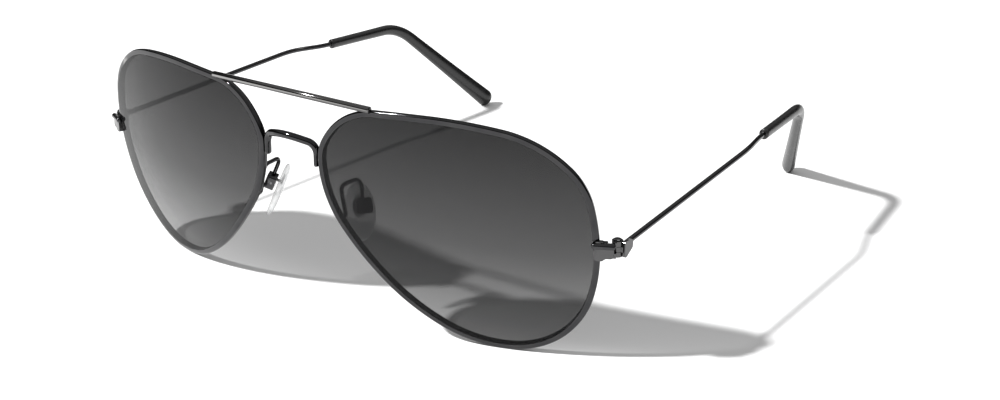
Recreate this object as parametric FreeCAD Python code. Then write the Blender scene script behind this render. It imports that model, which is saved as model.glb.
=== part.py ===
import FreeCAD, Part
import math
import os

from FreeCAD import Matrix, Placement, Rotation, Vector

# Aviator sunglasses, standing open on a flat surface.
# The front faces -Y, the temples run back along +Y, +Z is up, +X is the wearer's left.
# Each paired piece is modelled for the wearer's left and mirrored in the plane X = 0.
# Lengths are in millimetres, angles in degrees.

# ---- rims and lenses ----
RIM_WIDTH = 60.0            # outside width of one rim
RIM_HEIGHT = 51.3           # outside height of one rim
RIM_WALL = 1.3              # rim wire seen from the front
RIM_DEPTH = 1.5             # rim wire seen from above
RIM_ROUND = 0.4             # rounding of the wire's outer edges
GROOVE_DEPTH = 0.5          # V groove that holds the lens
GROOVE_WIDTH = 1.0
LENS_RADIUS = 130.0         # sphere that the lens and its rim follow
LENS_THICKNESS = 1.6
LENS_PLAY = 0.05            # lens edge to rim
BRIDGE_GAP = 14.6           # between the rims where they are closest
FACE_WRAP = 13.3            # each lens turned back at its outer side
FRONT_TILT = 7.6            # front leaning forward at the top

# Centre line of the rim wire, as shares of its width and height from the middle.
# It starts at the outermost point and turns by the same angle from each point to the next.
OUTLINE = [
    (0.500, 0.006), (0.415, 0.335), (-0.080, 0.500), (-0.436, 0.410),
    (-0.500, 0.259), (-0.259, -0.253), (0.168, -0.500), (0.381, -0.395),
]
FIRST_HEADING = 90.0
OUTER_POINT = 0
TOP_POINT = 2
NASAL_POINT = 4
LOWER_NASAL_POINT = 5

# ---- brow bar and bridge ----
BROW_BAR_LENGTH = 41.6
BROW_BAR_RADIUS = 0.72
BROW_BAR_LEAN = 48.0        # bar towards the front from the top of the rim
BRIDGE_RADIUS = 0.8
BRIDGE_RISE = 1.7           # middle of the arch above its shoulders
BRIDGE_REACH = 2.4          # middle of the arch in front of its feet
BRIDGE_SHOULDER = 2.8       # shoulders above the rims' closest points
BRIDGE_SHOULDER_BEND = 2.4
BRIDGE_TOP_BEND = 10.0
BRIDGE_FOOT_LENGTH = 3.8
BRIDGE_FOOT_WIDTH = 1.7
BRIDGE_FOOT_THICKNESS = 0.8
BRIDGE_FOOT_ROUND = 0.4

# ---- hinge, endpiece and closing blocks ----
HINGE_RISE = 1.75           # hinge centre above the lens centre
HINGE_OUT = 3.9             # hinge axis outwards from the rim wire
HINGE_BACK = 1.0            # hinge axis behind the rim wire
BARREL_RADIUS = 1.15
KNUCKLE_HEIGHT = 1.05
KNUCKLE_PLAY = 0.08
PIN_RADIUS = 0.45
PIN_PLAY = 0.05
PIN_HEAD_RADIUS = 0.75
PIN_HEAD_HEIGHT = 0.3
ENDPIECE_HEIGHT = 4.1
ENDPIECE_THICKNESS = 0.8
ENDPIECE_OVERLAP = 0.5      # endpiece inwards past the rim wire's centre line
ENDPIECE_STOP = 0.5         # endpiece's end before the hinge axis
EAR_WIDTH = 0.7             # block between each front knuckle and the endpiece
EAR_START = 0.8             # its inner side before the hinge axis
ENDPIECE_WAIST = 3.0
ENDPIECE_SHOULDER = 1.1      # where it narrows, outwards from the rim wire
ENDPIECE_ROUND = 0.7
RIB_RADIUS = 0.65
RIB_RISE = 1.1              # rib above the endpiece's middle
RIB_ROUND = 0.5             # rounding of the rib's ends
RIB_PAST = 0.3              # rib outwards past the endpiece's end
RIB_REACH = 0.6             # rounded tongue inwards past the endpiece
RIB_SINK = 0.12             # rib's axis under the endpiece's face
BLOCK_LENGTH = 1.5
BLOCK_HEIGHT = 1.3
BLOCK_DEPTH = 1.4
BLOCK_ROUND = 0.25
RIM_SPLIT = 0.3             # slit between the two ends of the rim wire
CLOSING_SCREW_RADIUS = 0.35
CLOSING_HEAD_RADIUS = 0.5
CLOSING_HEAD_HEIGHT = 0.3
SLOT_SHARE = 0.3            # screwdriver slot's width to its head's radius
SLOT_DEPTH = 0.15

# ---- temples ----
TEMPLE_RADIUS = 0.62
TEMPLE_STRAIGHT = 59.5      # hinge to the first gentle bend
TEMPLE_RISE = 2.5           # upward slope of the straight run
TEMPLE_INWARD = 1.2         # inward slope of the straight run
TEMPLE_BOW = Vector(-2.2, 11.0, -0.7)    # first bend to the second
TIP_STRAIGHT = Vector(-2.5, 30.5, -0.7)  # second bend to the ear bend
SLEEVE_START = 3.0          # sleeve behind the second bend
TIP_DROP_IN = 12.7          # ear bend to the tip: inwards
TIP_DROP_BACK = 27.3        # ear bend to the tip: backwards
TEMPLE_BEND = 40.0
EAR_BEND = 15.0
WIRE_STOP = 7.0             # wire's end before the sleeve's end
TIP_START_WIDE = 2.6
TIP_START_THIN = 2.3
TIP_END_WIDE = 5.0
TIP_END_THIN = 3.6
TIP_DOME = 2.4              # length of the rounded end
TIP_SECTIONS = 11
DOME_SWING = 85.0           # rounded end, short of a full quarter turn
DOME_SECTIONS = 5
BORE_PLAY = 0.03            # sleeve to wire
LEAF_PLAY = 0.15            # temple plate to hinge barrel
LEAF_THICKNESS = 0.6
LEAF_HEIGHT = 3.4
LEAF_LENGTH = 3.0
LEAF_START = -10.0          # plate's front edge round the hinge axis
LEAF_ROUND = 0.6
LEAF_END_HEIGHT = 1.6
WIRE_RISE = 0.5             # wire above the hinge's middle
WIRE_SEAT = 0.1             # wire sunk into the temple plate
SETTLE_STEPS = 5            # repeats that bring the tip onto the surface

# ---- nose pads ----
PAD_LENGTH = 12.5
PAD_WIDTH = 7.0
PAD_THICKNESS = 1.4
PAD_ROUND = 0.6
PAD_OUT = 4.4               # pad outwards from the rims' closest points
PAD_BACK = 3.2              # pad behind the lens centre
PAD_DROP = 0.9              # pad below the lens centre
PAD_LEAN = Vector(-3.4, 3.1, 11.1)       # upward direction of the pad's long axis
PAD_SPLAY = 30.0            # pads opening towards the face
BOX_LIFT = 1.2              # box above the pad's middle
BOX_WIDE = 3.6
BOX_TALL = 3.3
BOX_DEEP = 2.2
BOX_FLOOR = 0.45
BOX_ROUND = 0.7
PAD_GAP = 0.55              # pad to box
EYE_WIDE = 1.9              # eye of the insert inside the box
EYE_RADIUS = 0.7
EYE_SIDE_PLAY = 0.2
EYE_ROCK_PLAY = 0.35
CORE_WIDE = 3.0             # insert's plate inside the pad
CORE_TALL = 5.0
CORE_THICKNESS = 0.5
CORE_DEPTH = 0.4            # plate under the pad's back
PAD_SCREW_RADIUS = 0.3
PAD_SCREW_HEAD_RADIUS = 0.55
PAD_SCREW_HEAD_HEIGHT = 0.3
ARM_RADIUS = 0.45
ARM_BEND = 1.5
ARM_LOOP = 4.1              # top of the goose neck above the box
ARM_DROP = 0.4              # soldered end below the lens centre
ARM_STAND_OFF = 0.9         # leg of the arm behind the rim's back
ARM_INWARD = 0.6            # front leg's top nearer the nose than the box end's top
SOLDER = 0.2                # depth of a piece's overlap where it is cut to seat on another

# ---- how closely shapes are worked out ----
BEND_SHARE = 0.48           # most of a straight run that one bend may take up
SEARCH_STEPS = 40           # halvings when a place on the rim is looked for


# ---- vectors, placements and profiles ----

def unit(vector):
    """The vector at length one."""
    return Vector(vector).normalize()


def axes_placement(origin, across, along):
    """Local X runs along `across` and local Y along `along`, which are square to each other."""
    out = across.cross(along)
    matrix = Matrix(
        across.x, along.x, out.x, origin.x,
        across.y, along.y, out.y, origin.y,
        across.z, along.z, out.z, origin.z,
        0, 0, 0, 1)
    return Placement(matrix)


def placed(shape, placement):
    """A copy of the shape carried by the placement."""
    copy = shape.copy()
    copy.Placement = placement.multiply(copy.Placement)
    return copy


def fused(solids):
    """One solid from solids that touch or overlap."""
    return solids[0].multiFuse(solids[1:]).removeSplitter()


def arc_between(start, corner, end):
    """The arc that leaves `start` and reaches `end` along the two sides of `corner`."""
    half_turn = (corner - start).getAngle(end - corner) / 2
    chord_middle = (start + end) / 2
    share = math.cos(half_turn) / (1 + math.cos(half_turn))
    middle = chord_middle + (corner - chord_middle) * share
    return start, middle, end


def rounded_face(corners):
    """Flat face in local XY from corners given as (x, y, radius)."""
    points = [Vector(x, y, 0) for x, y, _ in corners]
    rounds = []
    for index, (_, _, radius) in enumerate(corners):
        corner = points[index]
        before = unit(corner - points[index - 1])
        after = unit(points[(index + 1) % len(points)] - corner)
        trim = radius * math.tan(before.getAngle(after) / 2)
        rounds.append((corner - before * trim, corner, corner + after * trim))
    edges = []
    for index, (start, corner, end) in enumerate(rounds):
        edges.append(Part.LineSegment(rounds[index - 1][2], start).toShape())
        if corners[index][2] > 0:
            edges.append(Part.ArcOfCircle(*arc_between(start, corner, end)).toShape())
    return Part.Face(Part.Wire(edges))


def ellipse_wire(centre, wide_axis, wide, thin_axis, thin):
    """Ellipse by its full wide and thin sizes along two axes square to each other."""
    ellipse = Part.Ellipse(
        centre + wide_axis * (wide / 2), centre + thin_axis * (thin / 2), centre)
    return Part.Wire(ellipse.toShape())


# ---- bent wire ----

def bent_route(points, bends):
    """Straight runs joined by tangent arcs, one bend radius at each point between the ends."""
    route = []
    start = points[0]
    for index, bend in enumerate(bends, 1):
        corner = points[index]
        before = corner - points[index - 1]
        after = points[index + 1] - corner
        slope = math.tan(before.getAngle(after) / 2)
        trim = min(bend * slope, BEND_SHARE * before.Length, BEND_SHARE * after.Length)
        arc = arc_between(corner - unit(before) * trim, corner, corner + unit(after) * trim)
        route.append(Part.LineSegment(start, arc[0]))
        route.append(Part.ArcOfCircle(*arc))
        start = arc[2]
    route.append(Part.LineSegment(start, points[-1]))
    return route


def bent_rod(points, bends, radius):
    """Round wire along a bent route."""
    pieces = []
    for curve in bent_route(points, bends):
        edge = curve.toShape()
        start = edge.valueAt(edge.FirstParameter)
        ahead = edge.tangentAt(edge.FirstParameter)
        if isinstance(curve, Part.LineSegment):
            pieces.append(Part.makeCylinder(radius, edge.Length, start, ahead))
        else:
            disc = Part.Face(Part.Wire(Part.Circle(start, ahead, radius).toShape()))
            turn = math.degrees(edge.Length / curve.Radius)
            pieces.append(disc.revolve(curve.Center, curve.Axis, turn))
    return fused(pieces)


# ---- outline of the rim ----

def drawing_half(half):
    """Half a size on the flat drawing, from half the size measured on the sphere."""
    return 2 * LENS_RADIUS * math.tan(math.asin(half / LENS_RADIUS) / 2)


def on_sphere(flat):
    """Stereographic projection of a drawing point, which keeps circles as circles."""
    reach = flat.Length
    swing = 2 * math.atan(reach / (2 * LENS_RADIUS))
    shrink = LENS_RADIUS * math.sin(swing) / reach
    return Vector(flat.x * shrink, LENS_RADIUS * (1 - math.cos(swing)), flat.y * shrink)


def biarc(start, start_heading, end, end_heading):
    """Two tangent arcs from one point and heading to the next."""
    leave = Vector(math.cos(start_heading), math.sin(start_heading), 0)
    arrive = Vector(math.cos(end_heading), math.sin(end_heading), 0)
    chord = end - start
    both = leave + arrive
    square = 4 - both.dot(both)
    linear = 2 * chord.dot(both)
    reach = (math.sqrt(linear ** 2 + 4 * square * chord.dot(chord)) - linear) / (2 * square)
    first_corner = start + leave * reach
    second_corner = end - arrive * reach
    joint = (first_corner + second_corner) / 2
    return arc_between(start, first_corner, joint), arc_between(joint, second_corner, end)


def rim_arcs():
    """The rim wire's centre line on the sphere, two arcs from each outline point to the next."""
    half_width = drawing_half((RIM_WIDTH - RIM_WALL) / 2)
    half_height = drawing_half((RIM_HEIGHT - RIM_WALL) / 2)
    points = [Vector(2 * x * half_width, 2 * y * half_height, 0) for x, y in OUTLINE]
    turn = 2 * math.pi / len(points)
    heading = math.radians(FIRST_HEADING)
    arcs = []
    for index, point in enumerate(points):
        following = points[(index + 1) % len(points)]
        for flat in biarc(point, heading, following, heading + turn):
            arcs.append(Part.ArcOfCircle(*[on_sphere(place) for place in flat]))
        heading += turn
    return arcs


RIM_ARCS = rim_arcs()
SPHERE_CENTRE = Vector(0, LENS_RADIUS, 0)


def wire_axes(arc, angle):
    """Place on the wire, direction outwards from the lens, and direction to the front."""
    place = arc.value(angle)
    front = unit(place - SPHERE_CENTRE)
    ahead = unit(arc.Axis.cross(place - arc.Center))
    return place, ahead.cross(front), front


def along_rim(profile):
    """Carries a profile, X outwards and Y to the front, round the whole rim."""
    pieces = []
    for arc in RIM_ARCS:
        section = placed(profile, axes_placement(*wire_axes(arc, arc.FirstParameter)))
        turn = math.degrees(arc.LastParameter - arc.FirstParameter)
        pieces.append(section.revolve(arc.Center, arc.Axis, turn))
    return fused(pieces)


# ---- where the lens stands ----

def lens_seat():
    """From the lens's own axes to the whole object's axes, before it is set on the surface."""
    wrap = Rotation(Vector(0, 0, 1), FACE_WRAP)
    nasal_arc = RIM_ARCS[2 * NASAL_POINT]
    place, outwards, _ = wire_axes(nasal_arc, nasal_arc.FirstParameter)
    nasal_edge = wrap.multVec(place + outwards * (RIM_WALL / 2))
    sideways = Placement(Vector(BRIDGE_GAP / 2 - nasal_edge.x, 0, 0), wrap)
    return Placement(Vector(), Rotation(Vector(1, 0, 0), FRONT_TILT)).multiply(sideways)


def rim_profile():
    """Section of the grooved rim wire, with the groove on the lens side."""
    wall = RIM_WALL / 2
    depth = RIM_DEPTH / 2
    groove = GROOVE_WIDTH / 2
    return rounded_face([
        (wall, -depth, RIM_ROUND), (wall, depth, RIM_ROUND), (-wall, depth, 0),
        (-wall, groove, 0), (GROOVE_DEPTH - wall, 0, 0), (-wall, -groove, 0), (-wall, -depth, 0),
    ])


RIM = along_rim(rim_profile())
SEAT = lens_seat()
SEAT.move(Vector(0, 0, -placed(RIM, SEAT).optimalBoundingBox().ZMin))
LENS_CENTRE = SEAT.multVec(Vector())


def rim_station(share):
    """Place and axes on the standing rim, `share` counting outline points."""
    arc = RIM_ARCS[int(2 * share)]
    angle = arc.FirstParameter + (2 * share % 1) * (arc.LastParameter - arc.FirstParameter)
    place, outwards, front = wire_axes(arc, angle)
    return SEAT.multVec(place), SEAT.Rotation.multVec(outwards), SEAT.Rotation.multVec(front)


def find_station(low, high, distance):
    """Station between two outline points where distance(place) changes sign."""
    rising = distance(rim_station(high)[0]) > 0
    for _ in range(SEARCH_STEPS):
        middle = (low + high) / 2
        if (distance(rim_station(middle)[0]) > 0) == rising:
            high = middle
        else:
            low = middle
    return rim_station(middle)


# ---- hinge axes, shared by the endpiece and the temple ----

HINGE_HEIGHT = LENS_CENTRE.z + HINGE_RISE
RIM_END, _, RIM_FRONT = find_station(
    OUTER_POINT, OUTER_POINT + 1, lambda place: place.z - HINGE_HEIGHT)
FORWARD = unit(Vector(RIM_FRONT.x, RIM_FRONT.y, 0))
OUTWARD = Vector(0, 0, 1).cross(FORWARD)
END_AXES = axes_placement(RIM_END, OUTWARD, Vector(0, 0, 1))
HINGE = RIM_END + OUTWARD * HINGE_OUT - FORWARD * HINGE_BACK
BARREL_HEIGHT = 3 * KNUCKLE_HEIGHT + 2 * KNUCKLE_PLAY
PLATE_BACK = RIM_DEPTH / 2


def barrel(radius, height, bottom):
    """Cylinder on the hinge axis, its bottom measured from the hinge's middle."""
    return Part.makeCylinder(radius, height, HINGE + Vector(0, 0, bottom))


def end_block(corners, back, front):
    """Block in the endpiece's axes: an outline of (outwards, up), between two depths."""
    block = rounded_face(corners).extrude(Vector(0, 0, front - back))
    block.translate(Vector(0, 0, back))
    return placed(block, END_AXES)


# ---- front pieces ----

def eyewire():
    """Grooved rim wire with its slit at the endpiece."""
    reach = RIM_WALL
    half = RIM_SPLIT / 2
    slit = end_block(
        [(-reach, -half, 0), (reach, -half, 0), (reach, half, 0), (-reach, half, 0)],
        -RIM_DEPTH, RIM_DEPTH)
    return placed(RIM, SEAT).cut(slit)


def lens():
    """Spherical shell trimmed to a bevelled edge that stands in the rim's groove."""
    outer = Part.makeSphere(LENS_RADIUS + LENS_THICKNESS / 2, SPHERE_CENTRE)
    inner = Part.makeSphere(LENS_RADIUS - LENS_THICKNESS / 2, SPHERE_CENTRE)
    start = Vector(0, -LENS_THICKNESS, 0)
    core = Part.makeCylinder(RIM_WIDTH, LENS_RADIUS / 2, start, Vector(0, 1, 0))
    blank = outer.cut(inner).common(core)
    shoulder = -RIM_WALL / 2 - LENS_PLAY
    tip = shoulder + GROOVE_DEPTH
    bevel = GROOVE_WIDTH / 2
    beyond = LENS_THICKNESS
    waste = along_rim(rounded_face([
        (beyond, -beyond, 0), (beyond, beyond, 0), (shoulder, beyond, 0),
        (shoulder, bevel, 0), (tip, 0, 0), (shoulder, -bevel, 0), (shoulder, -beyond, 0),
    ]))
    middle = Part.Vertex(0, 0, 0)
    trimmed = min(blank.cut(waste).Solids, key=lambda solid: solid.distToShape(middle)[0])
    return placed(trimmed, SEAT)


def brow_bar(rims):
    """Straight round bar with square-cut ends, seated on top of both rims."""
    contact = BROW_BAR_LENGTH / 2 - BROW_BAR_RADIUS
    place, outwards, front = find_station(TOP_POINT, NASAL_POINT, lambda place: place.x - contact)
    lean = math.radians(BROW_BAR_LEAN)
    reach = BROW_BAR_RADIUS - SOLDER
    axis = place + outwards * (RIM_WALL / 2 + reach * math.cos(lean))
    axis += front * (RIM_DEPTH / 2 + reach * math.sin(lean))
    start = Vector(-BROW_BAR_LENGTH / 2, axis.y, axis.z)
    bar = Part.makeCylinder(BROW_BAR_RADIUS, BROW_BAR_LENGTH, start, Vector(1, 0, 0))
    return bar.cut(rims)


def bridge(rims):
    """Arched round wire with a flat foot at each end, seated on the rims' nasal sides."""
    nasal = rim_station(NASAL_POINT)[0]
    side = BRIDGE_GAP / 2 - BRIDGE_RADIUS + SOLDER / 2
    foot = Vector(side, nasal.y, nasal.z - BRIDGE_FOOT_LENGTH / 2)
    shoulder = Vector(side, nasal.y, nasal.z + BRIDGE_SHOULDER)
    middle = Vector(0, nasal.y - BRIDGE_REACH, shoulder.z + BRIDGE_RISE)
    left_half = [foot, shoulder]
    right_half = [Vector(-point.x, point.y, point.z) for point in reversed(left_half)]
    arch = bent_rod(
        left_half + [middle] + right_half,
        [BRIDGE_SHOULDER_BEND, BRIDGE_TOP_BEND, BRIDGE_SHOULDER_BEND], BRIDGE_RADIUS)
    half_width = BRIDGE_FOOT_WIDTH / 2
    half_length = BRIDGE_FOOT_LENGTH / 2
    radius = BRIDGE_FOOT_ROUND
    tab = rounded_face([
        (-half_width, -half_length, radius), (half_width, -half_length, radius),
        (half_width, half_length, radius), (-half_width, half_length, radius),
    ]).extrude(Vector(0, 0, BRIDGE_FOOT_THICKNESS))
    lean = Rotation(Vector(1, 0, 0), FRONT_TILT)
    across = lean.multVec(Vector(0, 1, 0))
    along = lean.multVec(Vector(0, 0, 1))
    tab_start = Vector(BRIDGE_GAP / 2 + SOLDER - BRIDGE_FOOT_THICKNESS, nasal.y, nasal.z)
    tab = placed(tab, axes_placement(tab_start, across, along))
    return fused([arch, tab, mirrored(tab)]).cut(rims)


def endpiece(rim):
    """Plate over the rim's front with a rounded rib, carrying the two front knuckles."""
    half = ENDPIECE_HEIGHT / 2
    waist = ENDPIECE_WAIST / 2
    barrel_half = BARREL_HEIGHT / 2
    end = HINGE_OUT - ENDPIECE_STOP
    shoulder = ENDPIECE_SHOULDER
    above = [
        (end, waist, ENDPIECE_ROUND), (shoulder + ENDPIECE_ROUND, waist, ENDPIECE_ROUND),
        (shoulder, half, ENDPIECE_ROUND / 2), (-ENDPIECE_OVERLAP, half, ENDPIECE_ROUND),
    ]
    below = [(x, -y, radius) for x, y, radius in reversed(above)]
    front = PLATE_BACK + ENDPIECE_THICKNESS
    plate = end_block(above + below, PLATE_BACK - SOLDER, front)
    tongue = END_AXES.multVec(Vector(-ENDPIECE_OVERLAP - RIB_REACH, RIB_RISE, front - RIB_SINK))
    rib_length = end + RIB_PAST + ENDPIECE_OVERLAP + RIB_REACH
    half_rib = rounded_face([
        (0, 0, 0), (rib_length, 0, 0), (rib_length, RIB_RADIUS, RIB_ROUND), (0, RIB_RADIUS, RIB_ROUND)])
    rib = half_rib.revolve(Vector(), Vector(1, 0, 0), 360)
    rib = placed(rib, axes_placement(tongue, OUTWARD, -FORWARD))
    ear_start = HINGE_OUT - EAR_START
    ear_end = ear_start + EAR_WIDTH
    knuckles = []
    for bottom in (-barrel_half, barrel_half - KNUCKLE_HEIGHT):
        top = bottom + KNUCKLE_HEIGHT
        knuckles.append(barrel(BARREL_RADIUS, KNUCKLE_HEIGHT, bottom))
        knuckles.append(end_block(
            [(ear_start, bottom, 0), (ear_end, bottom, 0), (ear_end, top, 0), (ear_start, top, 0)],
            -HINGE_BACK, PLATE_BACK))
    bore = barrel(PIN_RADIUS, BARREL_HEIGHT, -barrel_half)
    return fused([plate, rib] + knuckles).cut([bore, rim])


def closing_block(rim, side):
    """Half of the rim lock on one end of the rim wire: side 1 is the upper, -1 the lower."""
    start = RIM_WALL / 2 - SOLDER
    end = RIM_WALL / 2 + BLOCK_LENGTH
    near = side * RIM_SPLIT / 2
    far = near + side * BLOCK_HEIGHT
    block = end_block(
        [(start, near, 0), (end, near, BLOCK_ROUND),
         (end, far, BLOCK_ROUND), (start, far, BLOCK_ROUND)],
        PLATE_BACK - BLOCK_DEPTH, PLATE_BACK)
    return block.cut([closing_shank(), rim, endpiece(rim)])


def closing_axis():
    """Top of the closing screw's axis, through the middle of both blocks."""
    out = (RIM_WALL + BLOCK_LENGTH) / 2
    top = RIM_SPLIT / 2 + BLOCK_HEIGHT
    return END_AXES.multVec(Vector(out, top, PLATE_BACK - BLOCK_DEPTH / 2))


def closing_shank():
    """Shank of the closing screw, from the top of the upper block to the bottom of the lower."""
    length = RIM_SPLIT + 2 * BLOCK_HEIGHT
    return Part.makeCylinder(CLOSING_SCREW_RADIUS, length, closing_axis(), Vector(0, 0, -1))


def slotted_head(radius, height, base, axis, across):
    """Round screw head standing on `base`, with a slot along `across`."""
    head = Part.makeCylinder(radius, height, base, axis)
    width = SLOT_SHARE * radius
    slot = Part.makeBox(2 * radius, width, SLOT_DEPTH, Vector(-radius, -width / 2, 0))
    top = base + axis * (height - SLOT_DEPTH)
    return head.cut(placed(slot, axes_placement(top, across, axis.cross(across))))


def closing_screw():
    """Small screw that clamps the two closing blocks, its head underneath."""
    down = Vector(0, 0, -1)
    base = closing_axis() + down * (RIM_SPLIT + 2 * BLOCK_HEIGHT)
    head = slotted_head(CLOSING_HEAD_RADIUS, CLOSING_HEAD_HEIGHT, base, down, OUTWARD)
    return fused([closing_shank(), head])


def hinge_screw():
    """Screw that the temple swings on, its head on top of the barrel."""
    shank = barrel(PIN_RADIUS, BARREL_HEIGHT, -BARREL_HEIGHT / 2)
    top = HINGE + Vector(0, 0, BARREL_HEIGHT / 2)
    head = slotted_head(PIN_HEAD_RADIUS, PIN_HEAD_HEIGHT, top, Vector(0, 0, 1), OUTWARD)
    return fused([shank, head])


# ---- temples ----

def settled_tip(ear_bend):
    """Centre of the sleeve's last full section, low enough for its end to rest on the surface."""
    height = TIP_END_WIDE / 2
    for _ in range(SETTLE_STEPS):
        dip = unit(Vector(-TIP_DROP_IN, TIP_DROP_BACK, height - ear_bend.z)).z
        height = math.hypot(TIP_DOME * dip, TIP_END_WIDE / 2 * math.sqrt(1 - dip ** 2))
    return Vector(ear_bend.x - TIP_DROP_IN, ear_bend.y + TIP_DROP_BACK, height)


def temple_points():
    """Corners of the temple's route: hinge, two gentle bends, ear bend, tip."""
    inside = BARREL_RADIUS + LEAF_PLAY
    start = HINGE + Vector(inside - TEMPLE_RADIUS + WIRE_SEAT, inside + LEAF_PLAY, WIRE_RISE)
    rise = math.radians(TEMPLE_RISE)
    inward = math.radians(TEMPLE_INWARD)
    ahead = Vector(-math.sin(inward), math.cos(inward), math.tan(rise))
    first = start + unit(ahead) * TEMPLE_STRAIGHT
    second = first + TEMPLE_BOW
    ear_bend = second + TIP_STRAIGHT
    return [start, first, second, ear_bend, settled_tip(ear_bend)]


TEMPLE_POINTS = temple_points()


def temple_rod(radius):
    """Round rod along the temple's route, ending inside the sleeve."""
    *early, tip = TEMPLE_POINTS
    stop = tip - unit(tip - early[-1]) * WIRE_STOP
    return bent_rod(early + [stop], [TEMPLE_BEND, TEMPLE_BEND, EAR_BEND], radius)


def temple_hinge(wire):
    """Middle knuckle with a web to the plate that covers the hinge's outer side."""
    inside = BARREL_RADIUS + LEAF_PLAY
    outside = inside + LEAF_THICKNESS
    start = math.radians(LEAF_START)

    def at(radius, angle):
        return Vector(radius * math.cos(angle), radius * math.sin(angle), 0)

    plan = Part.Wire([
        Part.LineSegment(at(inside, start), at(outside, start)).toShape(),
        Part.ArcOfCircle(at(outside, start), at(outside, start / 2), at(outside, 0)).toShape(),
        Part.LineSegment(at(outside, 0), Vector(outside, LEAF_LENGTH, 0)).toShape(),
        Part.LineSegment(Vector(outside, LEAF_LENGTH, 0), Vector(inside, LEAF_LENGTH, 0)).toShape(),
        Part.LineSegment(Vector(inside, LEAF_LENGTH, 0), at(inside, 0)).toShape(),
        Part.ArcOfCircle(at(inside, 0), at(inside, start / 2), at(inside, start)).toShape(),
    ])
    sheet = Part.Face(plan).extrude(Vector(0, 0, LEAF_HEIGHT))
    sheet.translate(Vector(0, 0, -LEAF_HEIGHT / 2))
    front = outside * math.sin(start)
    half = LEAF_HEIGHT / 2
    rear_half = LEAF_END_HEIGHT / 2
    side = rounded_face([
        (front, -half, LEAF_ROUND), (BARREL_RADIUS / 2, -half, LEAF_ROUND),
        (LEAF_LENGTH, WIRE_RISE - rear_half, LEAF_ROUND),
        (LEAF_LENGTH, WIRE_RISE + rear_half, LEAF_ROUND),
        (BARREL_RADIUS, half, LEAF_ROUND), (front, half, LEAF_ROUND),
    ]).extrude(Vector(0, 0, 2 * outside))
    side = placed(side, axes_placement(Vector(), Vector(0, 1, 0), Vector(0, 0, 1)))
    web = Part.makeBox(
        inside + SOLDER, 2 * PIN_RADIUS + BARREL_RADIUS, KNUCKLE_HEIGHT,
        Vector(0, -PIN_RADIUS, -KNUCKLE_HEIGHT / 2))
    knuckle = Part.makeCylinder(BARREL_RADIUS, KNUCKLE_HEIGHT, Vector(0, 0, -KNUCKLE_HEIGHT / 2))
    bore = Part.makeCylinder(
        PIN_RADIUS + PIN_PLAY, KNUCKLE_HEIGHT, Vector(0, 0, -KNUCKLE_HEIGHT / 2))
    leaf = fused([sheet.common(side), web, knuckle]).cut(bore)
    leaf.translate(HINGE)
    return leaf.cut(wire)


def route_places(route, lengths):
    """Places and directions at given lengths along a route."""
    edges = [curve.toShape() for curve in route]
    found = []
    for length in lengths:
        left = length
        for edge in edges:
            if left <= edge.Length or edge is edges[-1]:
                break
            left -= edge.Length
        angle = edge.getParameterByLength(min(left, edge.Length))
        found.append((edge.valueAt(angle), edge.tangentAt(angle)))
    return found


def temple_tip(bore):
    """Moulded sleeve: oval, square-cut at its start, wider and rounded at its end."""
    _, _, second, ear_bend, tip = TEMPLE_POINTS
    start = second + unit(ear_bend - second) * SLEEVE_START
    route = bent_route([start, ear_bend, tip], [EAR_BEND])
    length = sum(curve.toShape().Length for curve in route)
    lengths = [length * index / (TIP_SECTIONS - 1) for index in range(TIP_SECTIONS)]
    sections = []
    for (place, ahead), reached in zip(route_places(route, lengths), lengths):
        share = (reached / length) ** 2
        wide = TIP_START_WIDE + (TIP_END_WIDE - TIP_START_WIDE) * share
        thin = TIP_START_THIN + (TIP_END_THIN - TIP_START_THIN) * share
        sections.append(tip_section(place, ahead, wide, thin))
    place, ahead = route_places(route, [length])[0]
    for index in range(1, DOME_SECTIONS + 1):
        swing = math.radians(DOME_SWING) * index / DOME_SECTIONS
        scale = math.cos(swing)
        centre = place + ahead * (TIP_DOME * math.sin(swing))
        sections.append(tip_section(centre, ahead, TIP_END_WIDE * scale, TIP_END_THIN * scale))
    return Part.makeLoft(sections, True).cut(bore)


def tip_section(place, ahead, wide, thin):
    """Oval section square to the route, thin sideways and wide in the upright plane."""
    sideways = unit(ahead.cross(Vector(0, 0, 1)))
    return ellipse_wire(place, sideways.cross(ahead), wide, sideways, thin)


# ---- nose pads ----

def pad_axes():
    """Middle of the pad's back; X backwards across the pad, Y up along it, Z to the box."""
    place = Vector(BRIDGE_GAP / 2 + PAD_OUT, LENS_CENTRE.y + PAD_BACK, LENS_CENTRE.z - PAD_DROP)
    along = unit(PAD_LEAN)
    splay = math.radians(PAD_SPLAY)
    across = Vector(math.sin(splay), math.cos(splay), 0)
    across = unit(across - along * across.dot(along))
    return axes_placement(place, across, along)


PAD_AXES = pad_axes()
ROCK_DEPTH = PAD_GAP + (BOX_DEEP - BOX_FLOOR) / 2


def pad_bar(radius, start, end):
    """Cylinder along the pad screw's axis, between two places across the pad."""
    base = Vector(start, BOX_LIFT, ROCK_DEPTH)
    return placed(Part.makeCylinder(radius, end - start, base, Vector(1, 0, 0)), PAD_AXES)


def pad_block(half_wide, half_tall, back, front, radius):
    """Block square to the pad, centred on the box."""
    block = rounded_face([
        (-half_wide, BOX_LIFT - half_tall, radius), (half_wide, BOX_LIFT - half_tall, radius),
        (half_wide, BOX_LIFT + half_tall, radius), (-half_wide, BOX_LIFT + half_tall, radius),
    ]).extrude(Vector(0, 0, front - back))
    block.translate(Vector(0, 0, back))
    return placed(block, PAD_AXES)


def oval_plate(middle, wide, tall, back, front):
    """Upright oval plate between two depths, its middle at a given height along the pad."""
    outline = ellipse_wire(Vector(0, middle, back), Vector(0, 1, 0), tall, Vector(1, 0, 0), wide)
    return Part.Face(outline).extrude(Vector(0, 0, front - back))


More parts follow.
